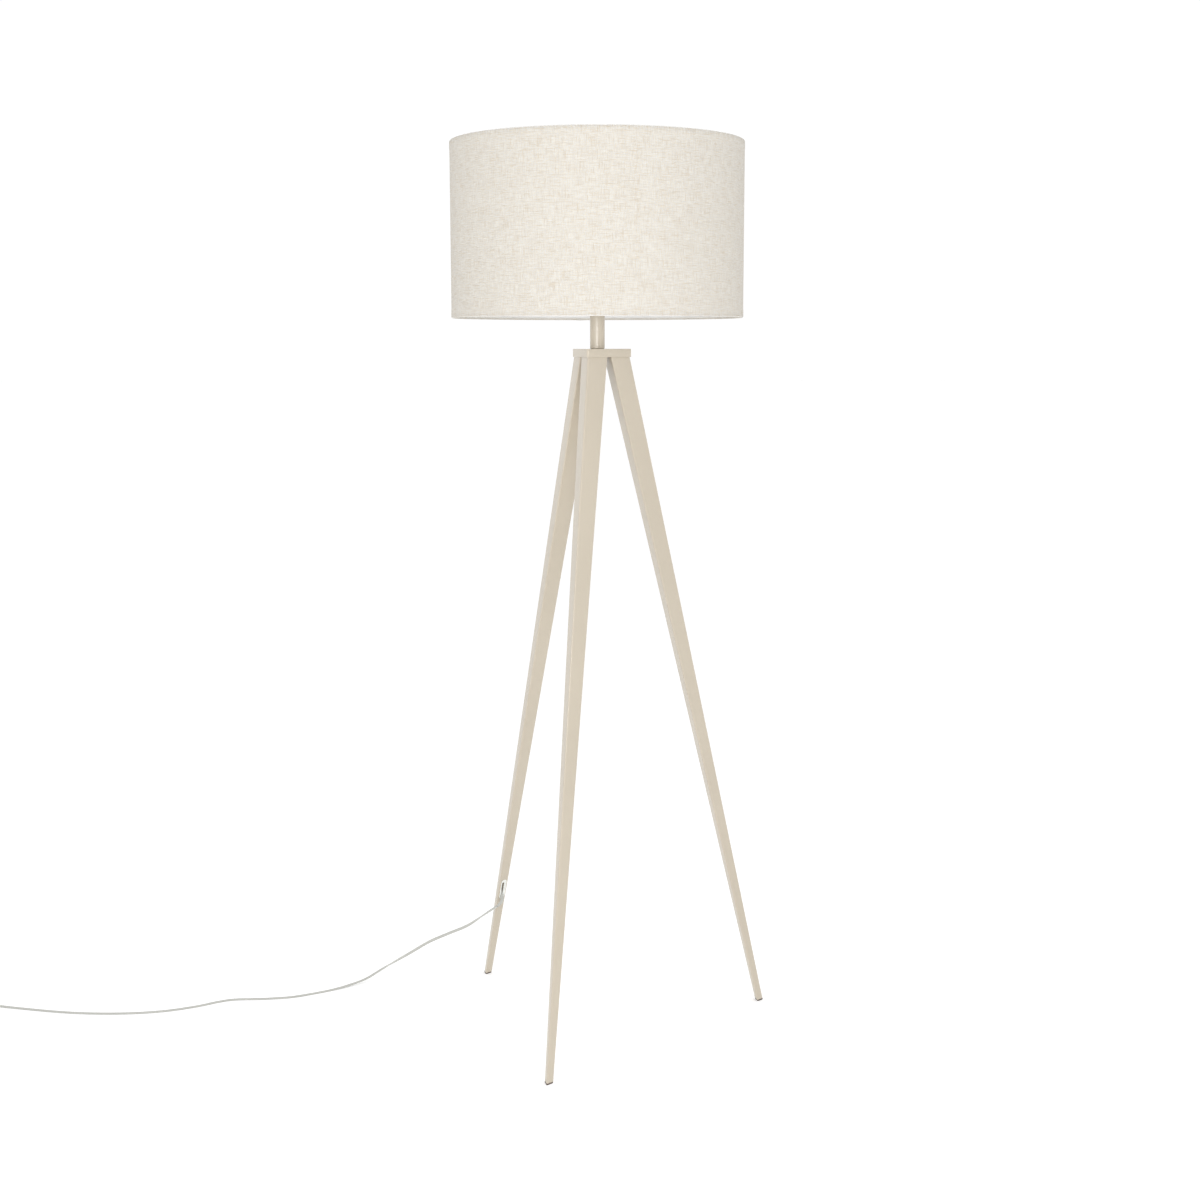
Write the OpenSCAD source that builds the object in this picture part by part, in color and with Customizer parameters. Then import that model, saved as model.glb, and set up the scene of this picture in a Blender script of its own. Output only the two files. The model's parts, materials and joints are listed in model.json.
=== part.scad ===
/* [Tripod] */
// Height of the hub's top face above the floor
hub_top = 1221; // [1000:1:1400]
// Height of the hub cap
hub_h = 14.3; // [13:0.1:20]
// Distance from the axis to the hub's rounded corners
hub_r = 61; // [58:0.5:66]
// Radius of the hub's upright corners
hub_round = 3; // [1:0.5:4]
// Distance from the axis to a leg's ridge, just under the hub
leg_top_r = 58.5; // [56:0.5:60]
// Distance from the axis to a leg's ridge, at the floor
leg_foot_r = 321.5; // [220:0.5:420]
// Side of a leg's triangular section, just under the hub
leg_top_side = 48.4; // [44:0.1:50]
// Side of a leg's triangular section, at the floor
leg_foot_side = 16.2; // [14:0.1:24]
// Wall of the leg tubes
leg_wall = 1.6; // [1:0.1:2]
// Height of the pads under the legs
pad_h = 2.5; // [2:0.5:6]

/* [Stem] */
// Radius of the stem
stem_r = 12.9; // [11:0.1:16]
// Length of the stem tube
stem_h = 64; // [50:1:90]

/* [Shade] */
// Outer radius of the drum
shade_r = 254; // [180:1:300]
// Height of the drum
shade_h = 299; // [240:0.5:340]
// Clear height between the hub's top face and the drum's lower edge
shade_lift = 53; // [45:0.5:58]
// Depth of the fitter's washer below the drum's upper edge
fitter_drop = 28.5; // [24:0.5:34]

/* [Cable outlet] */
// Height of the middle of the outlet in the leg
outlet_z = 182; // [150:1:240]
// Length of the outlet's rim
outlet_l = 41; // [34:0.5:46]
// Width of the outlet's rim
outlet_w = 13; // [12:0.5:15]

/* [Cord] */
// Width of the flat cord
cord_w = 5.6; // [4:0.2:5.6]
// Thickness of the flat cord
cord_h = 2.8; // [2:0.1:2.8]

/* [Hidden] */
$fn = 64;
eps = 0.01;
over = 1;

// Directions of the three legs around the axis
front_a = 270;
right_a = 30;
left_a = 150;
leg_angles = [front_a, right_a, left_a];

// Heights up the axis
leg_top = hub_top - hub_h;
cap_top = 3;
core_h = 6;
core_z = hub_top - cap_top - core_h;
ring_h = 5;
tube_z = hub_top + ring_h;
stem_cap_h = 3;
stem_top = tube_z + stem_h + stem_cap_h;
saddle_h = 1.5;
socket_z = stem_top + saddle_h;
socket_cap_h = 14;
shell_h = 44;
shell_z = socket_z + socket_cap_h - 2;
contact_z = shell_z + 22;
bulb_z = contact_z + 2;
shade_z = hub_top + shade_lift;
shade_top = shade_z + shade_h;
fitter_z = shade_top - fitter_drop;

// A leg's section at any height: an equilateral triangle with rounded corners
leg_top_round = 1.5;
leg_foot_round = 1.2;
function mix(a, b, t) = a + (b - a) * t;
function up_leg(z) = z / leg_top;
function leg_round(z) = mix(leg_foot_round, leg_top_round, up_leg(z));
function leg_tip(z) = mix(leg_foot_r + leg_foot_round, leg_top_r + leg_top_round, up_leg(z));
function leg_side(z) = mix(leg_foot_side, leg_top_side, up_leg(z));
function leg_face(z) = leg_tip(z) - leg_side(z) * sin(60);
function leg_mid(z) = leg_face(z) + leg_side(z) * sin(60) / 3;
leg_tilt = atan((leg_face(0) - leg_face(leg_top)) / leg_top);

// Where the cable comes out: a frame on the inner face of the left leg.
// Its x goes into the leg, its y along the face and its z up the leg.
left_dir = [cos(left_a), sin(left_a), 0];
outlet_x = left_dir * cos(leg_tilt) + [0, 0, sin(leg_tilt)];
outlet_y = [-sin(left_a), cos(left_a), 0];
outlet_up = [0, 0, cos(leg_tilt)] - left_dir * sin(leg_tilt);
outlet_at = left_dir * leg_face(outlet_z) + [0, 0, outlet_z];
function outlet(p) = outlet_at + outlet_x * p[0] + outlet_y * p[1] + outlet_up * p[2];

// Grommet
rim_proud = 0.8;
rim_wall = 1.8;
recess = 1.2;
slot_gap = 0.2;
cable_hole_r = 3.1;
cable_hole_z = -13;
cable_hole_l = 30;

// The coil of spare cord beside the plug
coil_at = [-1165, -291];
coil_turns_r = [35, 29.3, 23.6];
coil_upper_r = 29.3;
tie_t = 0.5;
tie_w = 5;
coil_low_z = tie_t + cord_h / 2;
coil_high_z = coil_low_z + cord_h + 0.1;

// The cord's route from the strain relief down to the floor and along it to the coil
cord_start_dir = [-0.62, -0.72, -0.30];
cord_route = [
  [-236, 116, 152],
  [-260, 102, 136],
  [-291, 98, 114],
  [-330, 102, 94],
  [-372, 106, 72],
  [-415, 98, 45],
  [-455, 76, 22],
  [-482, 46, 7],
  [-506, 12, 3],
  [-531, -18, cord_h / 2],
  [-558, -45, cord_h / 2],
  [-588, -70, cord_h / 2],
  [-630, -90, cord_h / 2],
  [-684, -109, cord_h / 2],
  [-710, -129, cord_h / 2],
  [-740, -162, cord_h / 2],
  [-790, -200, cord_h / 2],
  [-860, -230, cord_h / 2],
  [-950, -250, cord_h / 2],
  [-1060, -256, cord_h / 2],
  [coil_at[0], coil_at[1] + coil_turns_r[0], coil_low_z]
];
plug_l = 36;
plug_w = 25;
plug_h = 14;
tail_l = 48;
plug_at = [coil_at[0] - tail_l, coil_at[1] + coil_upper_r, plug_h / 2];
cord_tail_route = [
  [coil_at[0], coil_at[1] + coil_upper_r, coil_high_z],
  [coil_at[0] - 12, coil_at[1] + coil_upper_r, coil_high_z],
  [coil_at[0] - 24, coil_at[1] + coil_upper_r, coil_high_z + 0.6],
  [coil_at[0] - 36, coil_at[1] + coil_upper_r, plug_h / 2 - 0.3],
  plug_at
];

// The cable inside the lamp: down the pipe, across into the left leg and down to the outlet
function in_left_leg(r, z) = left_dir * r + [0, 0, z];
inner_route = [
  [0, 0, contact_z - 14],
  [0, 0, hub_top],
  [0, 0, leg_top - 10],
  in_left_leg(2, leg_top - 20),
  in_left_leg(9, leg_top - 29),
  in_left_leg(19, leg_top - 36),
  in_left_leg(31, leg_top - 45),
  in_left_leg(leg_mid(leg_top - 70), leg_top - 70),
  in_left_leg(leg_mid(900), 900),
  in_left_leg(leg_mid(600), 600),
  in_left_leg(leg_mid(300), 300),
  outlet([7, 0, 22]),
  outlet([6.6, 0, 6]),
  outlet([5.2, 0, -3]),
  outlet([3.2, 0, -8.5]),
  outlet([recess, 0, cable_hole_z])
];
core_notch_z = leg_top - 43;

/* Shared shapes */

// A smooth curve through points, with straight starts and ends
function spline(p0, p1, p2, p3, t) =
  0.5 * (2 * p1 + (p2 - p0) * t + (2 * p0 - 5 * p1 + 4 * p2 - p3) * t * t
  + (3 * p1 - p0 - 3 * p2 + p3) * t * t * t);
function before(p, lead) = is_undef(lead) ? 2 * p[0] - p[1] : p[0] - lead * norm(p[1] - p[0]);
function smooth(p, steps, lead) =
  let (n = len(p), q = concat([before(p, lead)], p, [2 * p[n - 1] - p[n - 2]]))
  concat(
    [for (i = [0:n - 2]) for (s = [0:steps - 1])
      spline(q[i], q[i + 1], q[i + 2], q[i + 3], s / steps)],
    [p[n - 1]]);
function unit(v) = v / norm(v);
function heading(p, i) = unit(p[min(i + 1, len(p) - 1)] - p[max(i - 1, 0)]);

// The wall between two rings of points, as triangles; i and j are the rings' places in the stack
function wall(i, j, sides) = [for (k = [0:sides - 1])
  let (a = i * sides, b = j * sides, next = (k + 1) % sides)
  each [[a + k, b + k, b + next], [a + k, b + next, a + next]]];

// One closed solid through a stack of rings, each a list of the same number of points
module skin_over(rings) {
  n = len(rings);
  sides = len(rings[0]);
  ends = [[for (k = [0:sides - 1]) k], [for (k = [sides - 1:-1:0]) (n - 1) * sides + k]];
  walls = [for (i = [0:n - 2]) each wall(i, i + 1, sides)];
  polyhedron([for (r = rings) each r], concat(walls, ends));
}

// The same with no ends: the last ring joins the first, so the solid is a tube's wall
module loop_over(rings) {
  n = len(rings);
  walls = [for (i = [0:n - 1]) each wall(i, (i + 1) % n, len(rings[0]))];
  polyhedron([for (r = rings) each r], walls);
}

// One closed tube of oval section along a line of points; w and h are lists, one value a point
module sweep(p, w, h, sides, across) {
  skin_over([for (i = [0:len(p) - 1])
    let (t = heading(p, i), s = is_undef(across) ? unit(cross([0, 0, 1], t)) : across, u = cross(t, s))
    [for (k = [0:sides - 1])
      let (a = (k + 0.5) * 360 / sides)
      p[i] + s * w[i] / 2 * cos(a) + u * h[i] / 2 * sin(a)]]);
}
module cord(p, steps, sides, lead, across) {
  line = smooth(p, steps, lead);
  sweep(line, [for (q = line) cord_w], [for (q = line) cord_h], sides, across);
}

// An equilateral triangle, one corner along +x, with round corners
corner_step = 12;
module rounded_triangle(corner_r, round) {
  c = corner_r - round;
  polygon([for (a = [0, 120, 240]) for (t = [a - 60:corner_step:a + 60])
    [c * cos(a) + round * cos(t), c * sin(a) + round * sin(t)]]);
}
module tube(r, wall, h) {
  difference() {
    cylinder(r = r, h = h);
    translate([0, 0, -over]) cylinder(r = r - wall, h = h + 2 * over);
  }
}
module washer(r, hole, h) {
  difference() {
    cylinder(r = r, h = h);
    translate([0, 0, -over]) cylinder(r = hole, h = h + 2 * over);
  }
}
module stadium(l, w) {
  for (s = [-1, 1]) translate([0, s * (l - w) / 2]) circle(w / 2);
  square([w, l - w], center = true);
}

/* Hub and legs */

pipe_r = 4.85;
pipe_bore = 3.2;
pipe_hole = 4.95;
cap_wall = 2.5;
core_gap = 0.2;
screw_r = 4;
screw_at = 33;

module hub_cap() {
  color("#d8cfc0")
  difference() {
    translate([0, 0, leg_top]) rotate(front_a)
      linear_extrude(hub_h) rounded_triangle(hub_r, hub_round);
    translate([0, 0, leg_top - over]) rotate(front_a)
      linear_extrude(hub_h - cap_top + over) rounded_triangle(hub_r - 1.9 * cap_wall, hub_round / 2);
    translate([0, 0, leg_top]) cylinder(r = pipe_hole, h = hub_h + over);
  }
}
module hub_core() {
  head_r = 2 * screw_r;
  color("#8c8f92")
  difference() {
    translate([0, 0, core_z]) rotate(front_a)
      linear_extrude(core_h) rounded_triangle(hub_r - 1.9 * cap_wall - 2 * core_gap, hub_round / 2);
    translate([0, 0, core_z - over]) cylinder(r = pipe_hole, h = core_h + 2 * over);
    for (a = leg_angles) rotate(a) translate([screw_at, 0, 0]) {
      translate([0, 0, core_z - over]) cylinder(r = screw_r + 0.2, h = core_h + 2 * over);
      translate([0, 0, core_z + core_h - screw_r])
        cylinder(r1 = screw_r + 0.2, r2 = head_r + 0.2, h = screw_r + eps);
    }
  }
}
// A leg's outline at one height, drawn in from its faces by inset, as a ring of points
function leg_ring(z, inset, sharp) =
  let (
    round = leg_round(z) * sharp,
    depth = inset + round,
    c = (leg_tip(z) - leg_mid(z)) - 2 * depth)
  [for (a = [0, 120, 240]) for (t = [a - 60:corner_step:a + 60])
    [leg_mid(z) + c * cos(a) + round * cos(t), c * sin(a) + round * sin(t), z]];
module leg_form(z0, z1, inset, sharp) {
  skin_over([leg_ring(z0, inset, sharp), leg_ring(z1, inset, sharp)]);
}
module leg_tube(a) {
  rotate(a) loop_over([
    leg_ring(pad_h, 0, 1), leg_ring(leg_top, 0, 1),
    leg_ring(leg_top, leg_wall, 0.4), leg_ring(pad_h, leg_wall, 0.4)]);
}
module leg_front() {
  color("#d8cfc0") leg_tube(front_a);
}
module leg_right() {
  color("#d8cfc0") leg_tube(right_a);
}
module at_outlet() {
  rotate(left_a) translate([leg_face(outlet_z), 0, outlet_z]) rotate([0, -leg_tilt, 0])
    children();
}
// A stadium lying on the leg's face, from x0 to x1 into the leg
module on_face(x0, x1, l, w) {
  translate([x0, 0, 0]) rotate([90, 0, 90]) linear_extrude(x1 - x0) stadium(l, w);
}
module leg_left() {
  color("#d8cfc0")
  difference() {
    leg_tube(left_a);
    at_outlet() on_face(-over, leg_wall * 2, outlet_l - rim_wall, outlet_w - rim_wall);
    rotate(left_a) translate([leg_face(core_notch_z) - 6, 0, core_notch_z])
      rotate([0, 90, 0]) cylinder(r = 5, h = 12);
  }
}
insert_h = 20;
module leg_insert(a) {
  color("#9a9da0")
  rotate(a)
  difference() {
    union() {
      leg_form(leg_top - insert_h, leg_top, leg_wall + 0.15, 0.4);
      translate([screw_at, 0, leg_top - eps]) cylinder(r = 10, h = core_z - leg_top + eps);
    }
    translate([screw_at, 0, leg_top - insert_h + 4]) cylinder(r = screw_r, h = insert_h + hub_h);
  }
}
module leg_insert_front() {
  leg_insert(front_a);
}
module leg_insert_right() {
  leg_insert(right_a);
}
module leg_insert_left() {
  leg_insert(left_a);
}
module leg_screws() {
  shank = 16;
  color("#6f7275")
  for (a = leg_angles) rotate(a) translate([screw_at, 0, core_z + core_h])
    difference() {
      rotate_extrude() polygon([
        [0, -shank - core_h], [screw_r, -shank - core_h], [screw_r, -screw_r],
        [2 * screw_r, 0], [0, 0]]);
      translate([0, 0, -2.6]) cylinder(r = 2.9, h = 3, $fn = 6);
    }
}
module foot(a) {
  spigot_h = 8;
  color("#4b423b")
  rotate(a) {
    translate([leg_mid(0), 0, 0]) linear_extrude(pad_h)
      rounded_triangle(leg_side(0) / sqrt(3) - leg_foot_round, leg_foot_round);
    leg_form(pad_h, pad_h + spigot_h, leg_wall + 0.15, 0.4);
  }
}
module foot_front() {
  foot(front_a);
}
module foot_right() {
  foot(right_a);
}
module foot_left() {
  foot(left_a);
}

/* Pipe and stem */

nut_h = 5;
nut_washer_h = 1.2;
pipe_z = leg_top - 6;
pipe_top = socket_z + 9;

module lamp_pipe() {
  color("#c9a24b")
  translate([0, 0, pipe_z]) tube(pipe_r, pipe_r - pipe_bore, pipe_top - pipe_z);
}
module pipe_washer() {
  color("#b9bcc0")
  translate([0, 0, core_z - nut_washer_h]) washer(9, pipe_hole, nut_washer_h);
}
module pipe_nut() {
  color("#c9a24b")
  translate([0, 0, core_z - nut_washer_h - nut_h])
    difference() {
      cylinder(r = 8.2, h = nut_h, $fn = 6);
      translate([0, 0, -over]) cylinder(r = pipe_hole, h = nut_h + 2 * over);
    }
}
module stem_ring() {
  neck = 0.8;
  bulge = 0.4;
  color("#ddd5c7")
  translate([0, 0, hub_top])
    difference() {
      rotate_extrude() polygon([
        [0, 0], [stem_r - 1.4, 0], [stem_r - 1.4, neck], [stem_r - bulge, neck],
        [stem_r, neck + bulge], [stem_r, ring_h - bulge], [stem_r - bulge, ring_h], [0, ring_h]]);
      translate([0, 0, -over]) cylinder(r = pipe_hole, h = ring_h + 2 * over);
    }
}
module stem_tube() {
  color("#d8cfc0")
  translate([0, 0, tube_z]) tube(stem_r, 1.2, stem_h);
}
module stem_cap() {
  color("#d8cfc0")
  translate([0, 0, tube_z + stem_h]) washer(stem_r, pipe_hole, stem_cap_h);
}

/* Lampholder */

shell_r = 16.8;
shell_wall = 0.6;
liner_r = shell_r - shell_wall - 0.1;
screw_shell_r = 13.9;
shaft_r = 1.9;
shaft_hole = 1.98;
shaft_z = shell_z + 12;
knob_at = 22;
knob_r = 6.5;
knob_l = 11;

// A rod across the lampholder, from the middle out to the front
module to_front(z, x0, x1, r) {
  rotate(front_a) translate([x0, 0, z]) rotate([0, 90, 0]) cylinder(r = r, h = x1 - x0);
}
harp_foot_x = 26;
module harp_saddle() {
  ear_h = 10;
  color("#c9a24b") {
    translate([0, 0, stem_top])
      difference() {
        union() {
          cylinder(r = 11, h = saddle_h);
          translate([-harp_foot_x - 3, -5, 0]) cube([2 * harp_foot_x + 6, 10, saddle_h]);
        }
        translate([0, 0, -over]) cylinder(r = pipe_hole, h = saddle_h + 2 * over);
      }
    for (s = [-1, 1])
      translate([s * harp_foot_x, 0, stem_top + saddle_h]) cylinder(r = 1.9, h = ear_h);
  }
}
module socket_cap() {
  color("#c9a24b")
  translate([0, 0, socket_z])
    difference() {
      rotate_extrude() polygon([
        [pipe_hole, 0], [8, 0], [8, 5], [13, 7], [shell_r, 11], [shell_r + 0.8, 12],
        [shell_r + 0.8, socket_cap_h], [shell_r + 0.05, socket_cap_h], [shell_r + 0.05, 12],
        [12.4, 8], [7, 6], [7, 9], [pipe_hole, 9]]);
    }
}
module socket_shell() {
  color("#c9a24b")
  difference() {
    translate([0, 0, shell_z]) tube(shell_r, shell_wall, shell_h);
    to_front(shaft_z, 8, shell_r + over, shaft_hole + 0.6);
  }
}
module socket_liner() {
  color("#2c2a28")
  difference() {
    translate([0, 0, shell_z]) tube(liner_r, shell_wall, shell_h - 1);
    to_front(shaft_z, 8, shell_r + over, shaft_hole + 0.6);
  }
}
module socket_core() {
  core_r = liner_r - shell_wall - 0.2;
  color("#1f1d1b")
  difference() {
    translate([0, 0, shell_z + 1]) cylinder(r = core_r, h = contact_z - shell_z - 1);
    to_front(shaft_z, 2, core_r + over, shaft_hole);
    translate([0, 0, shell_z]) cylinder(r = 4, h = 8);
  }
}
module socket_screw_shell() {
  color("#d9d3c3")
  translate([0, 0, contact_z]) tube(screw_shell_r, 0.5, shell_z + shell_h - contact_z - 2);
}
module socket_contact() {
  color("#c98f4b")
  translate([0, 0, contact_z]) cylinder(r = 3.5, h = 1.6);
}
module switch_shaft() {
  color("#b9bcc0")
  to_front(shaft_z, 3, knob_at, shaft_r);
}
module switch_knob() {
  flutes = 8;
  color("#1f1d1b")
  difference() {
    to_front(shaft_z, knob_at, knob_at + knob_l, knob_r);
    for (k = [0:flutes - 1])
      translate([0, 0, shaft_z]) rotate(front_a) rotate([k * 360 / flutes, 0, 0])
        translate([knob_at + 2, 0, knob_r + 0.9]) rotate([0, 90, 0]) cylinder(r = 1.8, h = knob_l);
  }
}

/* Bulb */

bulb_cap_r = 13;
bulb_cap_h = 23;
housing_h = 30;
globe_r = 30;
housing_r = bulb_cap_r + 0.6;
globe_seat_r = globe_r - 3.4;

module bulb_tip() {
  color("#b9bcc0")
  translate([0, 0, bulb_z]) cylinder(r1 = 3.6, r2 = 5, h = 2);
}
module bulb_cap() {
  threads = 5;
  pitch = 3.6;
  color("#c9cbcd")
  translate([0, 0, bulb_z + 2]) rotate_extrude() polygon(concat(
    [[0, 0], [7.5, 0], [bulb_cap_r - 1.2, 2]],
    [for (k = [0:threads - 1]) each [
      [bulb_cap_r - 1.2, 2.4 + k * pitch], [bulb_cap_r, 3.3 + k * pitch],
      [bulb_cap_r, 4.2 + k * pitch], [bulb_cap_r - 1.2, 5.1 + k * pitch]]],
    [[bulb_cap_r - 0.6, bulb_cap_h], [0, bulb_cap_h]]));
}
module bulb_housing() {
  color("#f1f1ee")
  translate([0, 0, bulb_z + 2 + bulb_cap_h]) rotate_extrude() polygon(concat(
    [[0, 0], [housing_r, 0]],
    [for (t = [0:0.1:1])
      [housing_r + (globe_seat_r - housing_r) * sin(90 * t) * t, 2 + t * (housing_h - 2)]],
    [[0, housing_h]]));
}
module bulb_globe() {
  rise = sqrt(globe_r * globe_r - globe_seat_r * globe_seat_r);
  color("#fbfaf4")
  translate([0, 0, bulb_z + 2 + bulb_cap_h + housing_h])
    difference() {
      rotate_extrude() intersection() {
        translate([0, rise]) circle(globe_r);
        square([globe_r, 2 * globe_r]);
      }
      rotate_extrude() intersection() {
        translate([0, rise]) circle(globe_r - 1.2);
        translate([0, -over]) square([globe_r, 2 * globe_r]);
      }
    }
}

/* Harp and finial */

harp_wire = 3.6;
stud_r = 3.17;
body_gap = 0.3;
fitter_t = 1.6;
harp_base = stem_top + saddle_h + body_gap;
harp_top = fitter_z - 4;
harp_half = [
  [harp_foot_x, harp_base + 11],
  [harp_foot_x, harp_base + 24],
  [harp_foot_x + 8, harp_base + 44],
  [harp_foot_x + 22, harp_base + 76],
  [harp_foot_x + 29, harp_base + 112],
  [harp_foot_x + 26, harp_base + 150],
  [harp_foot_x + 13, harp_base + 188],
  [harp_foot_x - 6, harp_base + 220],
  [harp_foot_x - 17, harp_top - 3],
  [5, harp_top],
  [0, harp_top]
];
module harp() {
  half = [for (p = harp_half) [p[0], 0, p[1]]];
  n = len(half);
  line = smooth(concat(half, [for (i = [n - 2:-1:0]) [-half[i][0], 0, half[i][2]]]), 4);
  wire = [for (p = line) harp_wire];
  color("#c9a24b") sweep(line, wire, wire, 10, [0, 1, 0]);
}
module harp_sleeves() {
  color("#c9a24b")
  for (s = [-1, 1]) translate([s * harp_foot_x, 0, harp_base])
    difference() {
      cylinder(r = 3.2, h = 22);
      translate([0, 0, -over]) cylinder(r = 1.98, h = 12);
      translate([0, 0, 10 + over]) cylinder(r = harp_wire / 2, h = 12);
    }
}
// A collar on the top of the wire, with the threaded stud that the shade sits on
module harp_stud() {
  collar_h = 4.6;
  seat = fitter_z - body_gap;
  color("#c9a24b")
  difference() {
    union() {
      translate([0, 0, harp_top - collar_h / 2]) cylinder(r = 4.4, h = collar_h);
      translate([0, 0, harp_top + collar_h / 2])
        cylinder(r = 6.5, h = seat - harp_top - collar_h / 2);
      translate([0, 0, harp_top + collar_h / 2]) cylinder(r = stud_r, h = 14);
    }
    translate([-8, 0, harp_top]) rotate([0, 90, 0]) cylinder(r = harp_wire / 2, h = 16);
  }
}
finial_z = fitter_z + fitter_t + body_gap;
module finial() {
  color("#d8cfc0")
  translate([0, 0, finial_z])
    difference() {
      rotate_extrude() polygon(concat(
        [[0, 0], [7, 0], [7, 1.6], [4.6, 3], [4.6, 6]],
        [for (a = [-60:15:90]) [9 * cos(a), 14 + 9 * sin(a)]]));
      translate([0, 0, -over]) cylinder(r = stud_r + 0.08, h = 13);
    }
}

/* Shade */

skin = 0.6;
ring_wire = 1.8;
lip_in = 5.7;
turn_in = 3.4;
liner_out = shade_r - skin;
ring_r = liner_out - skin - ring_wire - 0.15;
arm_r = 1.8;
arm_knee = ring_r - 30;
fitter_angles = [90, 210, 330];

// The cloth's outline: the wall, and an edge turned in over each ring
module fabric_edge(z, way) {
  translate([shade_r - lip_in, way > 0 ? z : z - skin]) square([lip_in, skin]);
  translate([shade_r - lip_in, way > 0 ? z : z - turn_in]) square([skin, turn_in]);
}
module shade_fabric() {
  color("#efe9de")
  difference() {
    rotate_extrude($fn = 128) {
      translate([liner_out, shade_z]) square([skin, shade_h]);
      fabric_edge(shade_z, 1);
      fabric_edge(shade_top, -1);
    }
    for (a = fitter_angles) rotate(a)
      translate([shade_r - lip_in - over, -4, shade_top - turn_in - over])
        cube([skin + 2 * over, 8, turn_in - 0.8]);
  }
}
module shade_liner() {
  color("#fafaf7")
  translate([0, 0, shade_z + skin]) tube(liner_out, skin, shade_h - 2 * skin, $fn = 128);
}
module wire_ring(z) {
  translate([0, 0, z]) rotate_extrude($fn = 128) translate([ring_r, 0]) circle(ring_wire, $fn = 24);
}
module shade_lower_ring() {
  color("#e6e4df")
  wire_ring(shade_z + skin + ring_wire + 0.1);
}
module shade_top_ring() {
  color("#e6e4df")
  wire_ring(shade_top - skin - ring_wire - 0.1);
}
module shade_spider() {
  washer_r = 13;
  arm_z = fitter_z + fitter_t - arm_r - 0.15;
  rise = shade_top - skin - ring_wire - 0.1 - arm_z;
  slope = atan(rise / (ring_r - arm_knee));
  color("#e6e4df") {
    translate([0, 0, fitter_z]) washer(washer_r, stud_r + 0.08, fitter_t);
    for (a = fitter_angles) rotate(a) translate([0, 0, arm_z]) {
      rotate([0, 90, 0]) translate([0, 0, washer_r - 4]) cylinder(r = arm_r, h = arm_knee - washer_r + 4);
      translate([arm_knee, 0, 0]) sphere(arm_r + 0.1);
      translate([arm_knee, 0, 0]) rotate([0, 90 - slope, 0])
        cylinder(r = arm_r, h = (ring_r - arm_knee) / cos(slope) - ring_wire / 2);
    }
  }
}

/* Cable, outlet and cord */

module inner_cord() {
  color("#c9cbc4")
  cord(inner_route, 4, 8, undef, outlet_y);
}
module outlet_grommet() {
  color("#f4f4f0")
  at_outlet()
    difference() {
      union() {
        on_face(-rim_proud, 0, outlet_l, outlet_w);
        on_face(-eps, leg_wall + 1, outlet_l - rim_wall - slot_gap, outlet_w - rim_wall - slot_gap);
      }
      on_face(-rim_proud - over, recess, outlet_l - 2 * rim_wall, outlet_w - 2 * rim_wall);
      translate([0, 0, cable_hole_z - cable_hole_r + cable_hole_l / 2])
        on_face(-over, 8, cable_hole_l, 2 * cable_hole_r);
    }
}
module strain_relief() {
  root = outlet([recess, 0, cable_hole_z]);
  tip = cord_route[0];
  reach = norm(tip - root) / 3;
  bend = [root, root - outlet_x * reach - outlet_up * 3, tip - unit(cord_start_dir) * reach, tip];
  steps = 12;
  line = [for (i = [0:steps]) let (t = i / steps, s = 1 - t)
    s * s * s * bend[0] + 3 * s * s * t * bend[1] + 3 * s * t * t * bend[2] + t * t * t * bend[3]];
  color("#d9dbd6")
  sweep(line, [for (i = [0:steps]) mix(7, cord_w + 0.9, i / steps)],
    [for (i = [0:steps]) mix(6.4, cord_h + 1, i / steps)], 16);
}
module cord_run() {
  color("#cfd0ca")
  cord(cord_route, 4, 8, unit(cord_start_dir));
}
module coil_outline() {
  low = coil_turns_r[2] - cord_w / 2;
  high = coil_turns_r[0] + cord_w / 2;
  polygon([
    [low, tie_t], [high, tie_t], [high, tie_t + cord_h], [coil_upper_r + cord_w / 2, coil_high_z],
    [coil_upper_r + cord_w / 2, coil_high_z + cord_h / 2],
    [coil_upper_r - cord_w / 2, coil_high_z + cord_h / 2],
    [coil_upper_r - cord_w / 2, coil_high_z], [low, tie_t + cord_h]]);
}
module cord_coil() {
  color("#cfd0ca")
  translate(coil_at) rotate_extrude() coil_outline();
}
module coil_tie() {
  bundle_w = coil_turns_r[0] - coil_turns_r[2] + cord_w;
  color("#f4f4f0")
  translate(coil_at) rotate(200)
    difference() {
      translate([coil_turns_r[2] - cord_w / 2 - tie_t, -tie_w / 2, 0])
        cube([bundle_w + 2 * tie_t, tie_w, coil_high_z + cord_h / 2 + tie_t]);
      rotate_extrude() coil_outline();
      translate([coil_upper_r + cord_w / 2 + tie_t, -tie_w, coil_high_z + tie_t]) cube([20, 2 * tie_w, 10]);
      translate([0, -tie_w, coil_high_z + tie_t]) cube([coil_upper_r - cord_w / 2 - tie_t, 2 * tie_w, 10]);
    }
}
module cord_tail() {
  color("#cfd0ca")
  cord(cord_tail_route, 3, 8);
}
blade_t = 1.5;
blade_l = 17;
blade_gap = 12.7;
blade_in = 8;
blade_widths = [6.4, 7.9];
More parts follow.
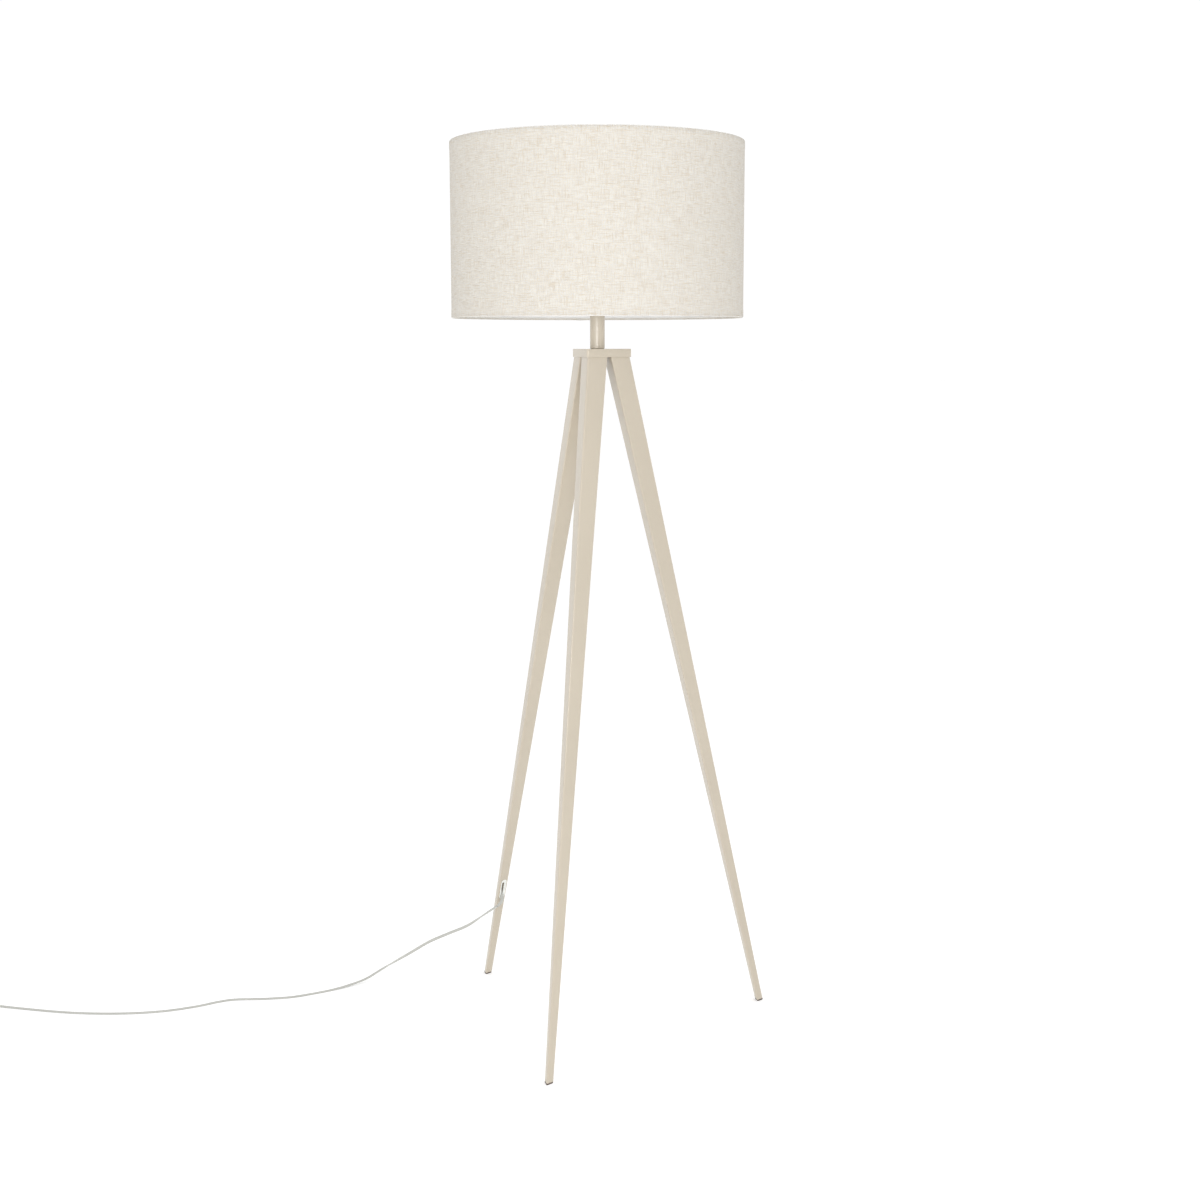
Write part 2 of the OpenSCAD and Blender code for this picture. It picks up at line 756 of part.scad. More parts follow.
// The two flat blades, ahead of the plug's front face by blade_l and held blade_in inside it
module blades(grow) {
  for (k = [0, 1])
    translate([-plug_l - blade_l, (k - 0.5) * blade_gap - blade_t / 2, -blade_widths[k] / 2])
      cube([blade_l + blade_in + grow, blade_t, blade_widths[k]]);
}
module plug_body() {
  nose = 9;
  color("#d9dbd6")
  translate(plug_at)
    difference() {
      union() {
        hull() {
          for (s = [-1, 1]) translate([-plug_l, s * (plug_w / 2 - 3), 0]) rotate([0, 90, 0])
            linear_extrude(2) square([plug_h, 6], center = true);
          translate([-plug_l + 20, 0, 0]) rotate([0, 90, 0])
            linear_extrude(1) square([plug_h - 2, plug_w - 6], center = true);
          translate([-nose, 0, 0]) rotate([0, 90, 0]) cylinder(r = 4, h = 1, $fn = 32);
        }
        translate([-nose, 0, 0]) rotate([0, 90, 0]) cylinder(r1 = 4, r2 = 3, h = nose);
      }
      blades(0);
    }
}
module plug_blades() {
  color("#c9a24b")
  translate(plug_at) blades(0);
}

hub_cap();
hub_core();
leg_front();
leg_right();
leg_left();
leg_insert_front();
leg_insert_right();
leg_insert_left();
leg_screws();
foot_front();
foot_right();
foot_left();
lamp_pipe();
pipe_nut();
pipe_washer();
stem_ring();
stem_tube();
stem_cap();
harp_saddle();
socket_cap();
socket_shell();
socket_liner();
socket_core();
socket_screw_shell();
socket_contact();
switch_shaft();
switch_knob();
bulb_tip();
bulb_cap();
bulb_housing();
bulb_globe();
harp();
harp_sleeves();
harp_stud();
finial();
shade_fabric();
shade_liner();
shade_top_ring();
shade_lower_ring();
shade_spider();
inner_cord();
outlet_grommet();
strain_relief();
cord_run();
cord_coil();
coil_tie();
cord_tail();
plug_body();
plug_blades();
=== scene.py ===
"""Looks for the tripod floor lamp: painted tripod, linen drum shade, flat twin cord.

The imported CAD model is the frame. Pieces made here replace the soft CAD solids
(the shade's cloth and the cord) and the rest of the nodes get their materials.
"""

import json
import math

import bpy
from mathutils import Matrix, Vector


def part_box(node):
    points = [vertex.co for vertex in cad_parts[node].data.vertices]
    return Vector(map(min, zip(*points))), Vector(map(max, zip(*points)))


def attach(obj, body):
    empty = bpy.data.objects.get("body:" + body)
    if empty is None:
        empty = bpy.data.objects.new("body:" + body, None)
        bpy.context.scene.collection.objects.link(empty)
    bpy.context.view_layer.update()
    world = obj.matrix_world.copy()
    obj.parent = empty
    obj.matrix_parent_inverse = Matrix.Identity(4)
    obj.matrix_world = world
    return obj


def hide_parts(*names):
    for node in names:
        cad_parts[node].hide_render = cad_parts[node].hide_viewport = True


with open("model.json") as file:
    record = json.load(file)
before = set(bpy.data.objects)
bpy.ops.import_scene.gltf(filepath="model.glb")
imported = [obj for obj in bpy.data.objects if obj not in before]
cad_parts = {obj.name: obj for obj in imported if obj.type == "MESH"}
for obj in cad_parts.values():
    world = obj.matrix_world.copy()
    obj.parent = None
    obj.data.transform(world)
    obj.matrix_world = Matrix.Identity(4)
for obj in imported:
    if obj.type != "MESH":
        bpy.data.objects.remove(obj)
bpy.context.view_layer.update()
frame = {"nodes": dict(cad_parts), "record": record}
nodes = frame["nodes"]
scene = bpy.context.scene
MM = 0.001
TAU = 2 * math.pi


# ---------------------------------------------------------------- camera

CAMERA_AT = (0.8342, -2.9876, 1.2288)
HEADING, DOWN, ROLL = math.radians(15.527), math.radians(8.291), -0.00124

camera = bpy.data.objects.new("camera", bpy.data.cameras.new("camera"))
scene.collection.objects.link(camera)
camera.data.lens = 52.63
camera.data.sensor_width = 36.0
camera.matrix_world = (
    Matrix.Translation(CAMERA_AT)
    @ Matrix.Rotation(HEADING, 4, "Z")
    @ Matrix.Rotation(math.pi / 2 - DOWN, 4, "X")
    @ Matrix.Rotation(ROLL, 4, "Z")
)
camera.data.clip_start, camera.data.clip_end = 0.05, 60
scene.camera = camera


# ---------------------------------------------------------------- meshes


def mesh_object(name, vertices, faces, uvs=None, smooth_angle=40.0):
    """A mesh piece from vertices and faces; uvs gives one (u, v) a face corner."""
    mesh = bpy.data.meshes.new(name)
    mesh.from_pydata([tuple(v) for v in vertices], [], faces)
    if uvs is not None:
        layer = mesh.uv_layers.new(name="cloth")
        flat = [c for face in uvs for uv in face for c in uv]
        layer.data.foreach_set("uv", flat)
    mesh.validate()
    mesh.polygons.foreach_set("use_smooth", [True] * len(mesh.polygons))
    mesh.set_sharp_from_angle(angle=math.radians(smooth_angle))
    mesh.update()
    piece = bpy.data.objects.new(name, mesh)
    scene.collection.objects.link(piece)
    return piece


def catmull(points, steps, lead=None):
    """A smooth line through points; lead is the direction of its start."""
    p = [Vector(q) for q in points]
    if lead is None:
        first = 2 * p[0] - p[1]
    else:
        first = p[0] - Vector(lead).normalized() * (p[1] - p[0]).length
    q = [first] + p + [2 * p[-1] - p[-2]]
    line = []
    for i in range(len(p) - 1):
        a, b, c, d = q[i : i + 4]
        for s in range(steps):
            t = s / steps
            line.append(
                0.5
                * (
                    2 * b
                    + (c - a) * t
                    + (2 * a - 5 * b + 4 * c - d) * t * t
                    + (3 * b - a - 3 * c + d) * t * t * t
                )
            )
    line.append(p[-1])
    return line


# ---------------------------------------------------------------- the cord

CORD_W, CORD_H = 5.6 * MM, 2.8 * MM
COIL_AT = Vector((-1.165, -0.291, 0.0))
COIL_R = (35.0 * MM, 29.3 * MM, 23.6 * MM)
UPPER_R = 29.3 * MM
TIE_T = 0.5 * MM
LOW_Z = TIE_T + CORD_H / 2
HIGH_Z = LOW_Z + CORD_H + 0.1 * MM
FLOOR_Z = CORD_H / 2
CORD_START = (-0.62, -0.72, -0.30)
# The cord is turned on edge where it hangs, and flat where it lies
ROLL_IN_AIR = math.radians(72)
ROLL_FROM, ROLL_TO, ROLL_OVER = 15 * MM, 210 * MM, 70 * MM
STEPS_A_TURN, STEPS_A_POINT = 48, 10
ROUTE_MM = [
    (-236, 116, 152),
    (-260, 102, 136),
    (-291, 98, 114),
    (-330, 102, 94),
    (-372, 106, 72),
    (-415, 98, 45),
    (-455, 76, 22),
    (-482, 46, 7),
    (-506, 12, 3),
    (-531, -18, None),
    (-558, -45, None),
    (-588, -70, None),
    (-630, -90, None),
    (-684, -109, None),
    (-710, -129, None),
    (-740, -162, None),
    (-790, -200, None),
    (-860, -230, None),
    (-950, -250, None),
    (-1060, -256, None),
]
PLUG_H = 14 * MM


def ease(t):
    """0 to 1 with level ends."""
    t = min(max(t, 0.0), 1.0)
    return t * t * (3 - 2 * t)


def coil_line():
    """Three turns side by side, inwards, then one on top of them."""
    radii = [*COIL_R, UPPER_R]
    change = 0.3
    line = []
    for k in range(STEPS_A_TURN * 4 + 1):
        turn = min(k / STEPS_A_TURN, 3.9999)
        n, part = int(turn), turn - int(turn)
        r, z = radii[n], LOW_Z if n < 3 else HIGH_Z
        if n < 3:
            s = ease((part - (1 - change)) / change)
            r += (radii[n + 1] - r) * s
            if n == 2:
                z += (HIGH_Z - LOW_Z) * s
        a = math.pi / 2 + TAU * k / STEPS_A_TURN
        line.append(COIL_AT + Vector((r * math.cos(a), r * math.sin(a), z)))
    return line


def cord_line():
    """The whole cord's middle line: down to the floor, along it, round the coil, to the plug."""
    run = [
        Vector((x * MM, y * MM, FLOOR_Z if z is None else z * MM))
        for x, y, z in ROUTE_MM
    ]
    entry = COIL_AT + Vector((0, COIL_R[0], LOW_Z))
    line = catmull(run + [entry], STEPS_A_POINT, CORD_START)
    line = [Vector((p.x, p.y, max(p.z, FLOOR_Z))) for p in line]
    coil = coil_line()
    exit_y = COIL_AT.y + UPPER_R
    tail = [
        (COIL_AT.x - d * MM, exit_y, z)
        for d, z in (
            (0, HIGH_Z),
            (12, HIGH_Z),
            (24, HIGH_Z + 0.6 * MM),
            (36, PLUG_H / 2 - 0.3 * MM),
            (48, PLUG_H / 2),
        )
    ]
    return line[:-1] + coil[:-1] + catmull(tail, 6)


def twin_profile(count):
    """A flat twin cord's outline, (across, up), as two lobes with a groove each side."""
    lobe, web = CORD_H / 2, 0.55 * CORD_H / 2
    ring = []
    for k in range(count):
        a = math.radians(-118 + 236 * k / (count - 1))
        ring.append((CORD_W / 2 - lobe + lobe * math.cos(a), lobe * math.sin(a)))
    ring += [(0.0, web), *[(-x, -y) for x, y in ring], (0.0, -web)]
    return ring


def cord_roll(along):
    """How far the cord is turned about its own line, at a distance from its start."""
    begun = ease((along - ROLL_FROM) / ROLL_OVER)
    ended = ease((along - ROLL_TO) / ROLL_OVER)
    return ROLL_IN_AIR * (begun - ended)


def tube(name, line, ring, roll):
    """A closed tube along a line; ring is a list of (across, up), turned by roll."""
    n, m = len(line), len(ring)
    vertices, lengths, total = [], [], 0.0
    for i, p in enumerate(line):
        ahead, behind = line[min(i + 1, n - 1)], line[max(i - 1, 0)]
        t = (ahead - behind).normalized()
        across = Vector((0, 0, 1)).cross(t).normalized()
        up = t.cross(across)
        if i:
            total += (p - line[i - 1]).length
        lengths.append(total)
        c, s = math.cos(roll(total)), math.sin(roll(total))
        vertices += [p + across * (x * c - y * s) + up * (x * s + y * c) for x, y in ring]
    faces, uvs = [], []
    for i in range(n - 1):
        u0, u1 = lengths[i], lengths[i + 1]
        for k in range(m):
            j = (k + 1) % m
            v0, v1 = k / m, (k + 1) / m
            faces.append((i * m + k, i * m + j, (i + 1) * m + j, (i + 1) * m + k))
            uvs.append(((u0, v0), (u0, v1), (u1, v1), (u1, v0)))
    faces.append(tuple(range(m - 1, -1, -1)))
    uvs.append(tuple((0, k / m) for k in range(m)))
    faces.append(tuple((n - 1) * m + k for k in range(m)))
    uvs.append(tuple((lengths[-1], k / m) for k in range(m)))
    return mesh_object(name, vertices, faces, uvs, 75.0), total


cord_path = cord_line()
cord_flex, cord_length = tube("cord_flex", cord_path, twin_profile(9), cord_roll)
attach(cord_flex, "stand")
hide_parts("cord_run", "cord_coil", "cord_tail")


# ---------------------------------------------------------------- the shade's cloth

shade_low, shade_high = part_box("shade_fabric")
SHADE_R = shade_high.x
SHADE_BOTTOM, SHADE_TOP = shade_low.z, shade_high.z
CLOTH_T = 0.55 * MM
# The cloth rolls over each ring, turns in, and stands proud over the turned-in depth
HEM_R, HEM_TURN, HEM_DEEP = 2.6 * MM, 2.8 * MM, 11.0 * MM
HEM_STEP, HEM_STEP_OVER = 0.35 * MM, 4 * MM
SEAM_ANGLE, SEAM_W, SEAM_STEP = 112, 9 * MM, 0.45 * MM
# The spider's arms come out of the rolled edge through gaps in the turned-in cloth
ARM_ANGLES, ARM_GAP = (90, 210, 330), 1.6
COLUMNS, HEM_ARC, WALL_ROWS = 360, 10, 40


def cloth_profile():
    """(radius, height) down the outside of the cloth, hem to hem, and its length."""
    inner = SHADE_R - 2 * HEM_R
    points = [(inner, SHADE_TOP - HEM_TURN)]
    for k in range(HEM_ARC + 1):
        a = math.pi * (1 - k / HEM_ARC)
        points.append(
            (
                SHADE_R - HEM_R + HEM_R * math.cos(a),
                SHADE_TOP - HEM_R + HEM_R * math.sin(a),
            )
        )
    low, high = SHADE_BOTTOM + HEM_R, SHADE_TOP - HEM_R
    points += [(SHADE_R, high + (low - high) * k / WALL_ROWS) for k in range(1, WALL_ROWS)]
    for k in range(HEM_ARC + 1):
        a = math.pi * k / HEM_ARC
        points.append(
            (
                SHADE_R - HEM_R + HEM_R * math.cos(a),
                SHADE_BOTTOM + HEM_R - HEM_R * math.sin(a),
            )
        )
    points.append((inner, SHADE_BOTTOM + HEM_TURN))
    return points


def cloth():
    """The drum's cloth, a thin closed skin; UVs are metres round and along it."""
    profile = cloth_profile()
    rows = len(profile)
    along = [0.0]
    for a, b in zip(profile, profile[1:]):
        along.append(along[-1] + math.dist(a, b))
    normals = []
    for i in range(rows):
        a, b = profile[max(i - 1, 0)], profile[min(i + 1, rows - 1)]
        dx, dz = b[0] - a[0], b[1] - a[1]
        size = math.hypot(dx, dz)
        normals.append((-dz / size, dx / size))
    vertices = []
    for side in (0, 1):
        for c in range(COLUMNS):
            angle = TAU * c / COLUMNS
            off = (math.degrees(angle) - SEAM_ANGLE + 180) % 360 - 180
            lap = SHADE_R * math.radians(off)
            over, under = ease((lap + MM) / (1.5 * MM)), ease((lap - SEAM_W) / (3 * MM))
            seam = SEAM_STEP * (over - under)
            for i, (r, z) in enumerate(profile):
                nr, nz = normals[i]
                wall = SHADE_BOTTOM + HEM_R < z < SHADE_TOP - HEM_R and r > SHADE_R - MM
                hem = 0.0
                if wall:
                    from_edge = min(z - SHADE_BOTTOM, SHADE_TOP - z)
                    hem = -HEM_STEP * ease((from_edge - HEM_DEEP) / HEM_STEP_OVER)
                depth = side * CLOTH_T
                lift = (seam + hem if wall else seam) - depth
                rr, zz = r + nr * lift, z + nz * lift
                vertices.append((rr * math.cos(angle), rr * math.sin(angle), zz))
    skin = COLUMNS * rows
    faces, uvs = [], []
    shown = set()
    for c in range(COLUMNS):
        near_arm = any(abs((c + 0.5) * 360 / COLUMNS - a) < ARM_GAP for a in ARM_ANGLES)
        for i in range(rows - 1):
            if near_arm and i < 2:
                continue
            shown.add((c, i))
    for c, i in sorted(shown):
        d = (c + 1) % COLUMNS
        a0, b0 = c * rows + i, d * rows + i
        a1, b1 = a0 + 1, b0 + 1
        u0, u1 = SHADE_R * TAU * c / COLUMNS, SHADE_R * TAU * (c + 1) / COLUMNS
        v0, v1 = along[i], along[i + 1]
        faces.append((a0, a1, b1, b0))
        uvs.append(((u0, v0), (u0, v1), (u1, v1), (u1, v0)))
        faces.append((skin + b0, skin + b1, skin + a1, skin + a0))
        uvs.append(((u1, v0), (u1, v1), (u0, v1), (u0, v0)))

    def edge(p, q, u, v):
        faces.append((p, q, q + skin, p + skin))
        uvs.append(((u, v),) * 4)

    for c, i in sorted(shown):
        d = (c + 1) % COLUMNS
        u = SHADE_R * TAU * c / COLUMNS
        if i == 0 or (c, i - 1) not in shown:
            edge(d * rows + i, c * rows + i, u, along[i])
        if i == rows - 2:
            edge(c * rows + i + 1, d * rows + i + 1, u, along[i + 1])
        if ((c - 1) % COLUMNS, i) not in shown:
            edge(c * rows + i, c * rows + i + 1, u, along[i])
        if ((c + 1) % COLUMNS, i) not in shown:
            edge(d * rows + i + 1, d * rows + i, u, along[i])
    piece = mesh_object("shade_cloth", vertices, faces, uvs, 50.0)
    return piece, along[-1]


shade_cloth, cloth_height = cloth()
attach(shade_cloth, "shade")
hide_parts("shade_fabric")


# ---------------------------------------------------------------- materials


class Look:
    """A node material: makes nodes, links them and sets sockets."""

    def __init__(self, name, **shader):
        self.material = bpy.data.materials.new(name)
        self.material.use_nodes = True
        self.tree = self.material.node_tree
        self.shader = self.tree.nodes["Principled BSDF"]
        for key, value in shader.items():
            self.shader.inputs[key.replace("_", " ")].default_value = value

    def add(self, kind, settings=None, **sockets):
        node = self.tree.nodes.new("ShaderNode" + kind)
        for key, value in (settings or {}).items():
            setattr(node, key, value)
        for key, value in sockets.items():
            self.put(node.inputs[self.socket(key)], value)
        return node

    @staticmethod
    def socket(key):
        """A socket's name or, for a key such as i1, its number."""
        if key[0] == "i" and key[1:].isdigit():
            return int(key[1:])
        return key.replace("_", " ")

    def put(self, socket, value):
        if isinstance(value, bpy.types.NodeSocket):
            self.tree.links.new(value, socket)
        else:
            socket.default_value = value

    def set(self, key, value):
        self.put(self.shader.inputs[key], value)

    def coords(self, kind="Object"):
        return self.add("TexCoord").outputs[kind]

    def noise(self, where, scale, detail=2.0, roughness=0.5):
        node = self.add(
            "TexNoise", Vector=where, Scale=scale, Detail=detail, Roughness=roughness
        )
        return node.outputs["Fac"]

    def stretched(self, where, scale):
        node = self.add("Mapping", Vector=where, Scale=scale)
        return node.outputs["Vector"]

    def maths(self, operation, a, b=0.0, c=0.0):
        node = self.add("Math", {"operation": operation}, i0=a, i1=b, i2=c)
        return node.outputs[0]

    def span(self, value, low, high, to_low=0.0, to_high=1.0):
        node = self.add(
            "MapRange",
            {"interpolation_type": "SMOOTHSTEP"},
            Value=value,
            From_Min=low,
            From_Max=high,
            To_Min=to_low,
            To_Max=to_high,
        )
        return node.outputs[0]

    def blend(self, factor, a, b, way="MIX"):
        node = self.add("Mix", {"data_type": "RGBA", "blend_type": way})
        self.put(node.inputs[0], factor)
        for socket, colour in ((node.inputs[6], a), (node.inputs[7], b)):
            if isinstance(colour, bpy.types.NodeSocket):
                self.put(socket, colour)
            else:
                socket.default_value = (*colour, 1.0)
        return node.outputs[2]

    def grey(self, value):
        node = self.add("CombineXYZ", X=value, Y=value, Z=value)
        return node.outputs[0]

    def bump(self, height, strength, distance):
        node = self.add("Bump", Height=height, Strength=strength, Distance=distance)
        self.set("Normal", node.outputs["Normal"])

    def two_tones(self, factor, a, b):
        self.set("Base Color", self.blend(factor, a, b))


def srgb(r, g, b):
    """An 8-bit screen colour as linear numbers."""
    return tuple(
        (c / 255 / 12.92) if c <= 10.3 else ((c / 255 + 0.055) / 1.055) ** 2.4
        for c in (r, g, b)
    )


LINEN_LIGHT, LINEN_DARK = srgb(212, 209, 202), srgb(199, 193, 184)
LINEN_COOL, LINEN_WARM = (0.97, 1.0, 1.06), (1.0, 0.965, 0.89)
LINEN_SLUB = srgb(189, 173, 149)
LINEN_FLECK = srgb(156, 128, 95)
WEAVE_PITCH = 1.1 * MM
STRAND_PITCH, STRANDS_ROUND = 1.6 * MM, 6


def paint():
    """Satin powder coat: orange peel, and a slow drift of tone."""
    look = Look("powder_coat", Coat_Weight=0.35, Coat_Roughness=0.1)
    where = look.coords()
    drift = look.span(look.noise(where, 5.0, 3.0), 0.35, 0.65)
    look.two_tones(drift, srgb(183, 173, 156), srgb(186, 176, 159))
    peel = look.noise(where, 750.0, 1.0)
    look.set("Roughness", look.span(peel, 0.2, 0.8, 0.34, 0.44))
    look.bump(peel, 0.25, 0.0002)
    return look.material


def linen():
    """Woven linen: threads of uneven tone both ways, short slubs, a few flecks, and painted
    shade along the hems.
    """
    look = Look("linen_cloth", Sheen_Weight=0.03, Sheen_Roughness=0.4)
    look.shader.inputs["Specular IOR Level"].default_value = 0.12
    where = look.coords("UV")

    def threads(across, along, detail=1.0):
        return look.noise(look.stretched(where, (across, along, 1)), 1.0, detail)

    warp, weft = threads(820, 48), threads(48, 820)
    knots = threads(1050, 1050, 2.0)
    cloud = threads(26, 30, 2.0)
    slub_up = look.span(threads(620, 48), 0.61, 0.69)
    slub_round = look.span(threads(44, 620), 0.59, 0.67)
    parts = look.add("SeparateXYZ", Vector=where).outputs
    turns = [
        look.maths("SINE", look.maths("MULTIPLY", p, TAU / WEAVE_PITCH)) for p in parts[:2]
    ]
    weave = look.maths("MULTIPLY_ADD", look.maths("MULTIPLY", *turns), 0.5, 0.5)

    tone = look.maths("ADD", *(look.span(t, 0.36, 0.64) for t in (warp, weft)))
    tone = look.maths("ADD", tone, look.span(knots, 0.34, 0.66, 0.0, 0.8))
    tone = look.maths("ADD", tone, look.span(cloud, 0.2, 0.8, 0.0, 0.3))
    base = look.blend(look.span(tone, 0.2, 2.9), LINEN_DARK, LINEN_LIGHT)
    tint = look.blend(look.span(threads(560, 600), 0.36, 0.64), LINEN_COOL, LINEN_WARM)
    base = look.blend(1.0, base, tint, "MULTIPLY")
    slubs = look.maths("MAXIMUM", slub_up, slub_round)
    base = look.blend(look.maths("MULTIPLY", slubs, 0.42), base, LINEN_SLUB)
    fleck = look.span(threads(300, 240), 0.80, 0.84)
    base = look.blend(look.maths("MULTIPLY", fleck, 0.6), base, LINEN_FLECK)
    # Painted shade: the turned-in cloth and the rolled hems are 7 % darker, fading out over
    # about 8 mm of the wall next to each hem.
    edge = look.maths("MINIMUM", parts[1], look.maths("SUBTRACT", cloth_height, parts[1]))
    roll = HEM_TURN + (math.pi - 1) * HEM_R
    hem = look.span(edge, roll - HEM_R, roll + 3 * HEM_R, 0.93, 1.0)
    look.set("Base Color", look.blend(1.0, base, look.grey(hem), "MULTIPLY"))
    look.set("Roughness", look.span(knots, 0.3, 0.7, 0.84, 0.96))
    height = look.maths("ADD", weave, look.maths("MULTIPLY", slubs, 1.2))
    look.bump(look.maths("ADD", height, tone), 0.6, 0.00022)
    return look.material


def moulded(name, light, dark, roughness, scale=600.0, strength=0.12, **shader):
    """Moulded plastic or rubber: fine texture and a slight unevenness of tone."""
    look = Look(name, **shader)
    where = look.coords()
    look.two_tones(look.span(look.noise(where, 40.0, 3.0), 0.35, 0.65), light, dark)
    grain = look.noise(where, scale, 2.0)
    look.set("Roughness", look.span(grain, 0.2, 0.8, roughness - 0.06, roughness + 0.06))
    look.bump(grain, strength, 0.0002)
    return look.material


def metal(name, light, dark, roughness, along=(60.0, 60.0, 900.0)):
    """Drawn or turned metal: fine lines and a little tarnish."""
    look = Look(name, Metallic=1.0)
    where = look.coords()
    tarnish = look.span(look.noise(where, 90.0, 4.0), 0.35, 0.7)
    look.two_tones(tarnish, light, dark)
    lines = look.noise(look.stretched(where, along), 1.0, 2.0)
    look.set("Roughness", look.span(lines, 0.2, 0.8, roughness - 0.06, roughness + 0.1))
    look.bump(lines, 0.1, 0.0001)
    return look.material


def flex():
    """Clear PVC over two stranded conductors."""
    look = Look("cord_pvc", Coat_Weight=0.6, Coat_Roughness=0.12)
    where = look.coords("UV")
    parts = look.add("SeparateXYZ", Vector=where).outputs
    twist = look.maths(
        "SINE",
        look.maths(
            "ADD",
            look.maths("MULTIPLY", parts[0], TAU / STRAND_PITCH),
            look.maths("MULTIPLY", parts[1], TAU * STRANDS_ROUND),
        ),
    )
    strands = look.span(twist, -1.0, 1.0)
    look.two_tones(strands, srgb(152, 152, 147), srgb(198, 198, 191))
    look.set("Roughness", look.span(strands, 0.0, 1.0, 0.32, 0.42))
    look.bump(strands, 0.15, 0.0001)
    return look.material


LOOKS = {
    "paint": paint(),
    "linen": linen(),
    "flex": flex(),
    "rubber": moulded("pad_rubber", srgb(88, 77, 70), srgb(74, 64, 58), 0.75),
    "insulator": moulded("black_moulding", srgb(44, 42, 40), srgb(34, 32, 30), 0.45),
    "bulb_plastic": moulded(
        "opal_diffuser", srgb(246, 244, 238), srgb(240, 238, 231), 0.35, 300.0, 0.05
    ),
    "liner_film": moulded(
        "styrene_liner", srgb(244, 244, 244), srgb(242, 242, 242), 0.4, 120.0, 0.05
    ),
    "white_plastic": moulded(
        "white_moulding", srgb(234, 235, 231), srgb(226, 227, 223), 0.38
    ),
    "white_wire": moulded(
        "white_wire_coat", srgb(236, 233, 227), srgb(228, 225, 218), 0.4
    ),
    "steel": metal("zinc_plate", srgb(196, 197, 200), srgb(168, 169, 173), 0.35),
    "bulb_metal": metal("bulb_cap_metal", srgb(214, 215, 217), srgb(188, 189, 192), 0.28),
    "brass": metal("satin_brass", srgb(221, 188, 122), srgb(186, 150, 88), 0.3),
}

slots = {s["node"]: s["material_slot"] for s in frame["record"]["subparts"]}


def dress(piece, slot):
    piece.data.materials.clear()
    piece.data.materials.append(LOOKS[slot])


def even_shading():
    """A modifier group that shades smooth across every edge of less than 32 degrees."""
    group = bpy.data.node_groups.new("even_shading", "GeometryNodeTree")
    for way in ("INPUT", "OUTPUT"):
        group.interface.new_socket("Mesh", in_out=way, socket_type="NodeSocketGeometry")
    make, link = group.nodes.new, group.links.new
    start, end = make("NodeGroupInput"), make("NodeGroupOutput")
    plain = make("GeometryNodeRemoveAttribute")
    plain.inputs["Name"].default_value = "custom_normal"
    faces = make("GeometryNodeSetShadeSmooth")
    edges = make("GeometryNodeSetShadeSmooth")
    edges.domain = "EDGE"
    edges.inputs["Shade Smooth"].default_value = False
    angle = make("GeometryNodeInputMeshEdgeAngle")
    sharp = make("FunctionNodeCompare")
    sharp.operation = "GREATER_THAN"
    sharp.inputs[1].default_value = math.radians(32)
    link(start.outputs[0], plain.inputs[0])
    link(plain.outputs[0], faces.inputs["Geometry"])
    link(faces.outputs[0], edges.inputs["Geometry"])
    link(angle.outputs["Unsigned Angle"], sharp.inputs[0])
    link(sharp.outputs[0], edges.inputs["Selection"])
    link(edges.outputs[0], end.inputs[0])
    return group


# Edge roundings in mm, on the nodes whose edges show
BEVELS = {
    "hub_cap": 0.5,
    "stem_ring": 0.35,
    "stem_cap": 0.3,
    "foot_front": 0.25,
    "foot_right": 0.25,
    "foot_left": 0.25,
    "outlet_grommet": 0.3,
    "plug_blades": 0.25,
    "switch_knob": 0.3,
}
WELD_WITHIN = 0.002 * MM
shading = even_shading()
for name, node in nodes.items():
    dress(node, slots[name])
    node.modifiers.new("join", "WELD").merge_threshold = WELD_WITHIN
    if name in BEVELS:
        bevel = node.modifiers.new("edges", "BEVEL")
        bevel.limit_method, bevel.angle_limit = "ANGLE", math.radians(40)
        bevel.width, bevel.segments = BEVELS[name] * MM, 3
        bevel.use_clamp_overlap = False
    node.modifiers.new("shading", "NODES").node_group = shading
dress(cord_flex, "flex")
dress(shade_cloth, "linen")


# ---------------------------------------------------------------- floor and light

floor_material = moulded(
    "floor_white",
    (0.97, 0.97, 0.97),
    (0.96, 0.96, 0.96),
    roughness=0.9,
    scale=30.0,
    strength=0.0,
    Emission_Color=(1.0, 1.0, 1.0, 1.0),
    Emission_Strength=0.1,
)
FLOOR_R, FLOOR_SIDES = 90.0, 64
floor_angles = [TAU * k / FLOOR_SIDES for k in range(FLOOR_SIDES)]
floor = mesh_object(
    "floor",
    [(FLOOR_R * math.cos(a), FLOOR_R * math.sin(a), 0) for a in floor_angles],
    [tuple(range(FLOOR_SIDES))],
)
floor.data.materials.append(floor_material)

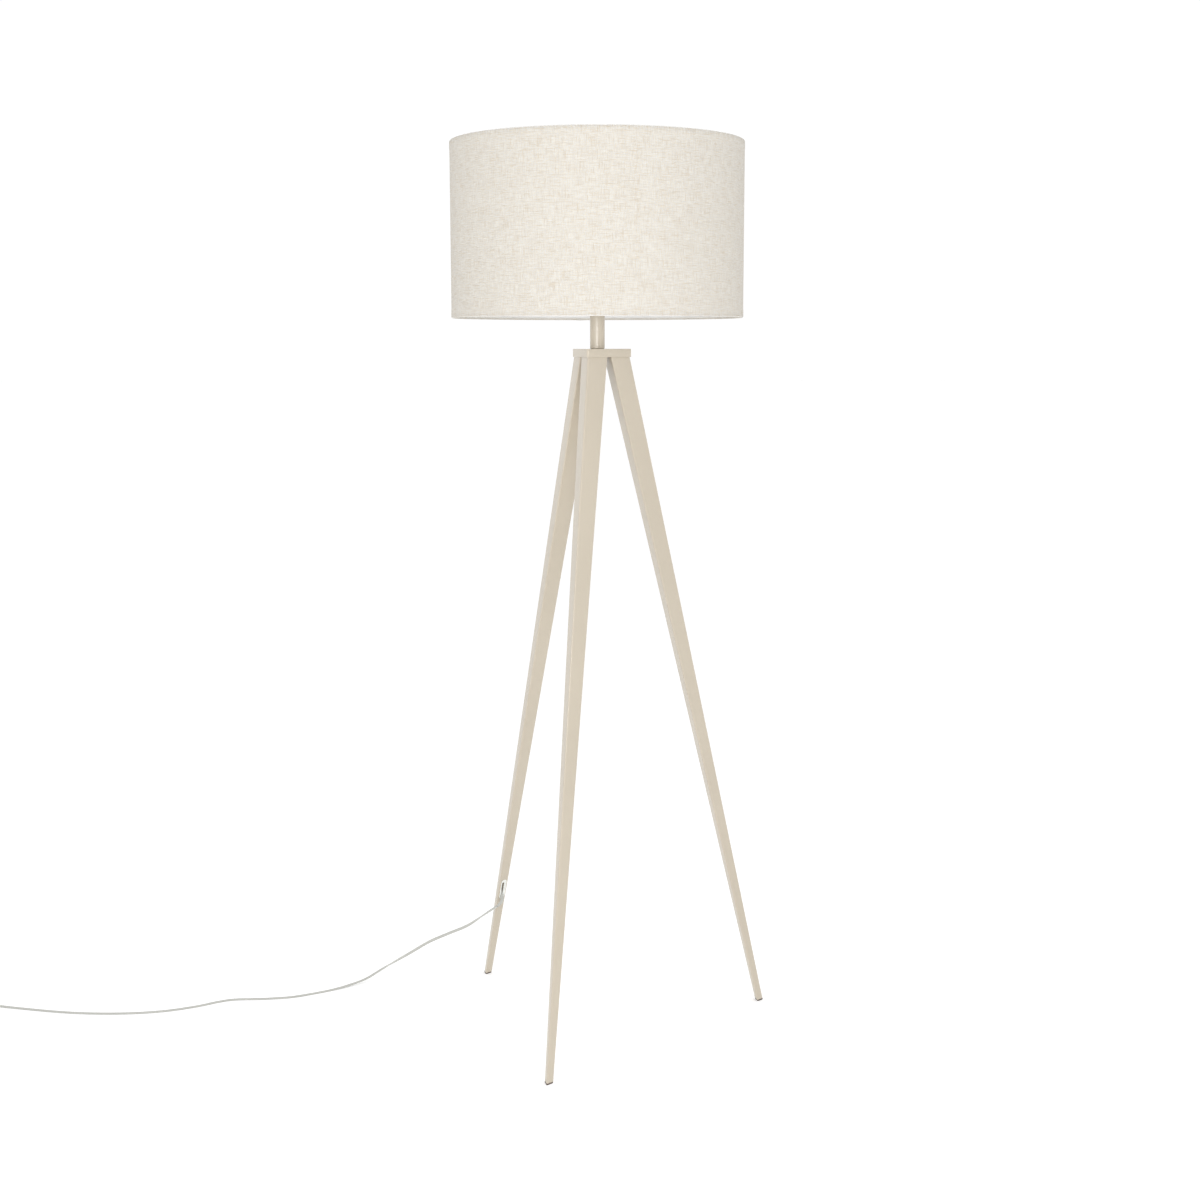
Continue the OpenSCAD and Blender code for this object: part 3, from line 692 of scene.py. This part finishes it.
world = bpy.data.worlds.new("studio")
scene.world = world
world.use_nodes = True
wt = world.node_tree
background = wt.nodes["Background"]
background.inputs["Color"].default_value = (1.0, 1.0, 1.0, 1.0)
# The room is dimmer in front of the lamp than behind it, and plain white to the camera
AMBIENT_FRONT, AMBIENT_BACK, SEEN = 0.79, 1.10, 1.02
toward = wt.nodes.new("ShaderNodeTexCoord")
parts = wt.nodes.new("ShaderNodeSeparateXYZ")
around = wt.nodes.new("ShaderNodeMapRange")
around.interpolation_type = "SMOOTHSTEP"
around.inputs["From Min"].default_value = -0.6
around.inputs["From Max"].default_value = 0.6
around.inputs["To Min"].default_value = AMBIENT_FRONT
around.inputs["To Max"].default_value = AMBIENT_BACK
paths = wt.nodes.new("ShaderNodeLightPath")
strength = wt.nodes.new("ShaderNodeMapRange")
strength.inputs["To Max"].default_value = SEEN
wt.links.new(toward.outputs["Generated"], parts.inputs[0])
wt.links.new(parts.outputs["Y"], around.inputs["Value"])
wt.links.new(around.outputs[0], strength.inputs["To Min"])
wt.links.new(paths.outputs["Is Camera Ray"], strength.inputs["Value"])
wt.links.new(strength.outputs[0], background.inputs["Strength"])


def soft_box(name, azimuth, elevation, distance, aim, size, power):
    """An area light aimed at the lamp; azimuth 0 is in front, 90 on its right."""
    data = bpy.data.lights.new(name, "AREA")
    data.energy = power
    data.shape = "RECTANGLE"
    data.size, data.size_y = size
    a, e = math.radians(azimuth), math.radians(elevation)
    way = Vector((math.sin(a) * math.cos(e), -math.cos(a) * math.cos(e), math.sin(e)))
    light = bpy.data.objects.new(name, data)
    light.location = Vector(aim) + way * distance
    light.rotation_mode = "QUATERNION"
    light.rotation_quaternion = (-way).to_track_quat("-Z", "Y")
    scene.collection.objects.link(light)



soft_box("key", 8, 1.5, 3.0, (0, 0, 1.25), (1.6, 0.6), 36)
soft_box("strip", -32, 1, 2.8, (0, 0, 1.2), (0.2, 0.8), 4)
soft_box("side", 62, 8, 3.2, (0, 0, 0.9), (1.2, 1.8), 10)

scene.view_settings.view_transform = "Standard"
scene.view_settings.look = "None"
